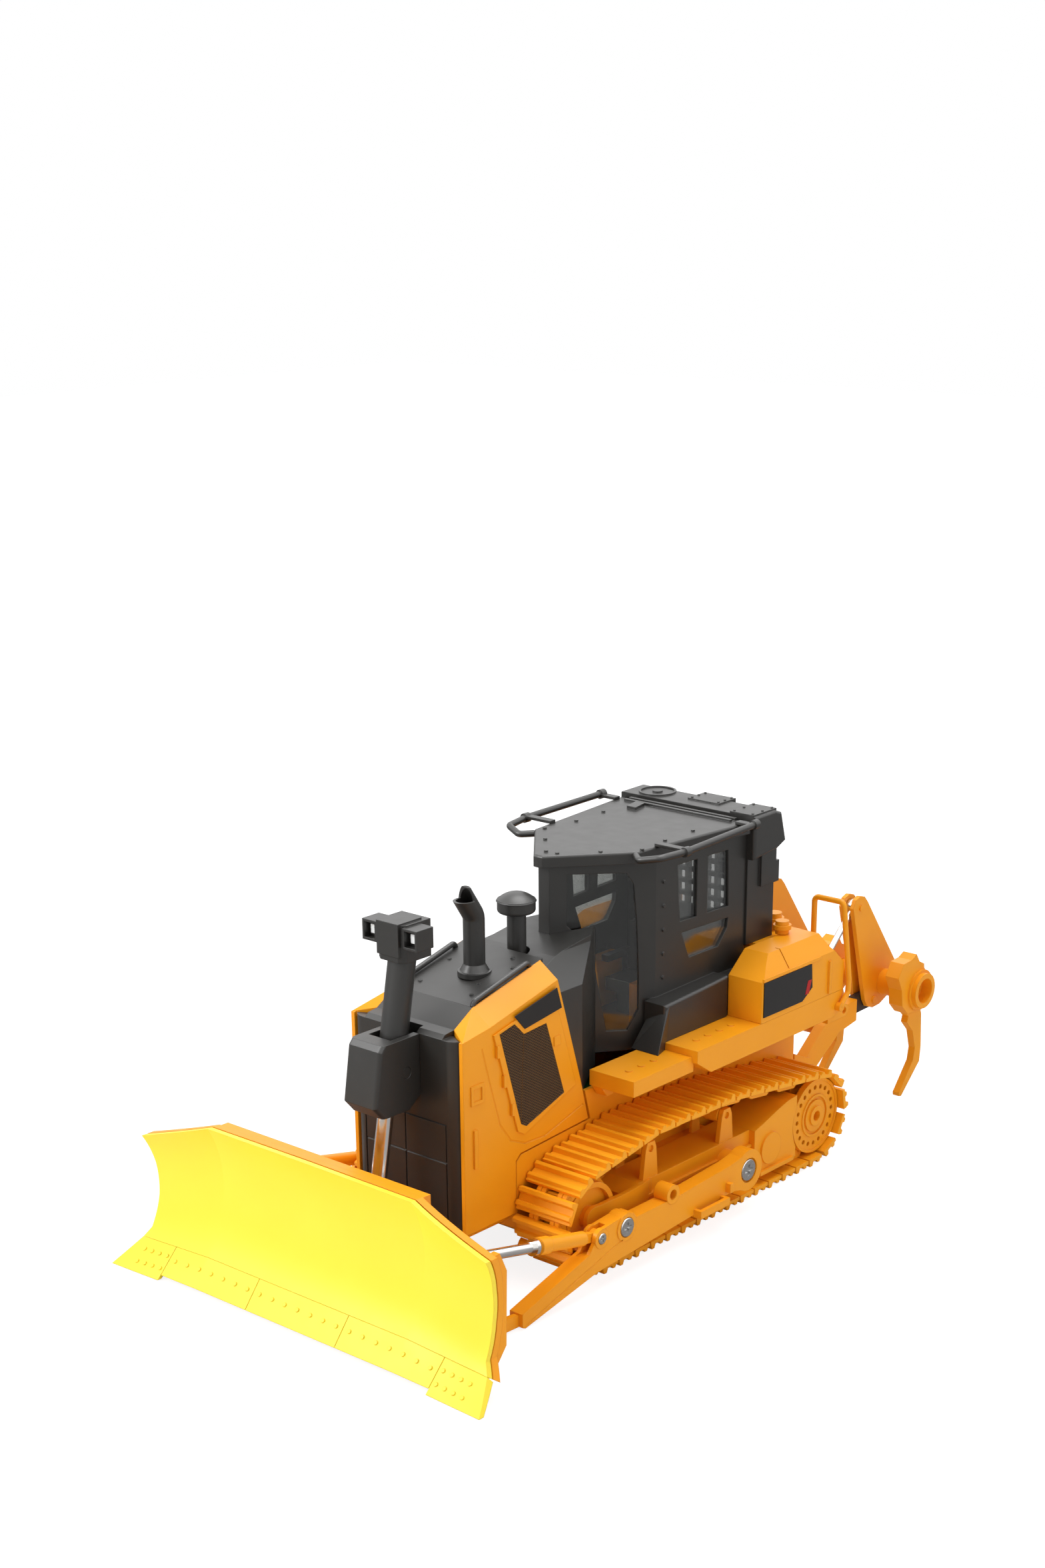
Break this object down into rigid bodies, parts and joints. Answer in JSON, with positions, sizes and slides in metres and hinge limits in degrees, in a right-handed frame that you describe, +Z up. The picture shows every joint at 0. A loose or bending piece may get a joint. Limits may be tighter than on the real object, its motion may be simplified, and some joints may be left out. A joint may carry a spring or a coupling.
{
  "type": "toy bulldozer",
  "caption": "Toy track-type tractor with a lifting semi-U blade, turning track wheels and a linked three-shank ripper, in plastic.",
  "frame": {"origin": "on the ground under the middle of the whole toy's bounding box", "axes": "+X to the driver's left, +Y to the rear, +Z up; the blade faces -Y"},
  "size_m": [0.1764, 0.3337, 0.1404],
  "materials": {
    "body_orange": "moulded satin",
    "track_orange": "moulded",
    "blade_yellow": "moulded satin",
    "black": "moulded satin",
    "mesh_black": "woven look",
    "clear": "clear",
    "bright": "polished",
    "screw": "plated",
    "decal": "printed",
    "board": "lacquered",
    "inner": "moulded"
  },
  "bodies": {
    "machine": {"chassis_tub": "body_orange", "battery_door": "black", "battery_pack": "inner", "circuit_board": "board", "drive_motors": "inner", "implement_motors": "inner", "hood_shell": "body_orange", "radiator_shell": "black", "hood_top": "black", "hood_rails": "black", "exhaust_stack": "black", "precleaner": "black", "nose_block": "black", "engine_doors": "body_orange", "mesh_grilles": "mesh_black", "cowl": "black", "cab_shell": "black", "cab_roof": "black", "roof_rails": "black", "ac_box": "black", "cab_panes": "clear", "seat": "black", "console": "body_orange", "fender_left": "body_orange", "fender_right": "body_orange", "side_box_left": "body_orange", "side_box_right": "body_orange", "rear_tank": "body_orange", "rear_rails": "body_orange", "track_frame_left": "body_orange", "track_frame_right": "body_orange", "track_chain_left": "track_orange", "track_chain_right": "track_orange", "chain_pins": "track_orange", "rollers": "body_orange", "ripper_bracket": "body_orange", "decal_plates": "decal"},
    "switch": {"power_switch": "black"},
    "sprocket_left": {"sprocket_left": "body_orange"},
    "sprocket_right": {"sprocket_right": "body_orange"},
    "idler_left": {"idler_left": "body_orange"},
    "idler_right": {"idler_right": "body_orange"},
    "blade": {"push_arm_left": "body_orange", "push_arm_right": "body_orange", "blade_frame": "body_orange", "moldboard": "blade_yellow", "cutting_edges": "blade_yellow", "brace_tubes": "body_orange", "brace_rods": "bright", "arm_screws": "screw"},
    "lift_tube": {"lift_tube": "black", "lamp_lenses": "clear"},
    "lift_rod": {"lift_rod": "bright"},
    "ripper_arms": {"ripper_arms": "body_orange", "ripper_knuckles": "black"},
    "ripper_carriage": {"ripper_carriage": "body_orange", "ripper_sockets": "body_orange", "ripper_shanks": "body_orange"},
    "link_tubes": {"link_tubes": "black"},
    "link_rods": {"link_rods": "bright"}
  },
  "joints": [
    {"name": "power_switch_slide", "type": "slide", "parent": "machine", "child": "switch", "axis": [0, 1, 0], "range_m": [0, 0.003]},
    {"name": "sprocket_left_spin", "type": "hinge", "parent": "machine", "child": "sprocket_left", "pos_m": [0.0388, 0.0699, 0.019], "axis": [1, 0, 0], "continuous": true},
    {"name": "idler_left_spin", "type": "hinge", "parent": "machine", "child": "idler_left", "pos_m": [0.0388, -0.0629, 0.0205], "axis": [1, 0, 0], "continuous": true},
    {"name": "sprocket_right_spin", "type": "hinge", "parent": "machine", "child": "sprocket_right", "pos_m": [-0.0388, 0.0699, 0.019], "axis": [1, 0, 0], "continuous": true},
    {"name": "idler_right_spin", "type": "hinge", "parent": "machine", "child": "idler_right", "pos_m": [-0.0388, -0.0629, 0.0205], "axis": [1, 0, 0], "continuous": true},
    {"name": "blade_lift", "type": "hinge", "parent": "machine", "child": "blade", "pos_m": [0, 0.0134, 0.017], "axis": [-1, 0, 0], "range_deg": [-3, 14]},
    {"name": "lift_tube_swing", "type": "hinge", "parent": "machine", "child": "lift_tube", "pos_m": [0, -0.1138, 0.08], "axis": [-1, 0, 0], "range_deg": [-1.38, 5.33]},
    {"name": "lift_rod_slide", "type": "slide", "parent": "lift_tube", "child": "lift_rod", "axis": [0, -0.1873, -0.9823], "range_m": [-0.03425, 0.00773]},
    {"name": "ripper_lift", "type": "hinge", "parent": "machine", "child": "ripper_arms", "pos_m": [0, 0.0976, 0.024], "axis": [1, 0, 0], "range_deg": [-2, 24]},
    {"name": "carriage_level", "type": "hinge", "parent": "ripper_arms", "child": "ripper_carriage", "pos_m": [0, 0.1456, 0.0412], "axis": [1, 0, 0], "range_deg": [-24.5, 2.5]},
    {"name": "ripper_tube_swing", "type": "hinge", "parent": "machine", "child": "link_tubes", "pos_m": [0, 0.0916, 0.045], "axis": [1, 0, 0], "range_deg": [-1.89, 19.42]},
    {"name": "ripper_rod_slide", "type": "slide", "parent": "link_tubes", "child": "link_rods", "axis": [0, 0.7315, 0.6818], "range_m": [-0.00095, 0.00807]}
  ],
  "couplings": [
    {"joint": "idler_left_spin", "follows": "sprocket_left_spin", "ratio": 0.90446},
    {"joint": "idler_right_spin", "follows": "sprocket_right_spin", "ratio": 0.90446},
    {"joint": "lift_tube_swing", "follows": "blade_lift", "ratio": 0.35917},
    {"joint": "lift_rod_slide", "follows": "blade_lift", "m_per_rad": -0.13811},
    {"joint": "carriage_level", "follows": "ripper_lift", "ratio": -1},
    {"joint": "ripper_tube_swing", "follows": "ripper_lift", "ratio": 0.79672},
    {"joint": "ripper_rod_slide", "follows": "ripper_lift", "m_per_rad": 0.018555}
  ]
}
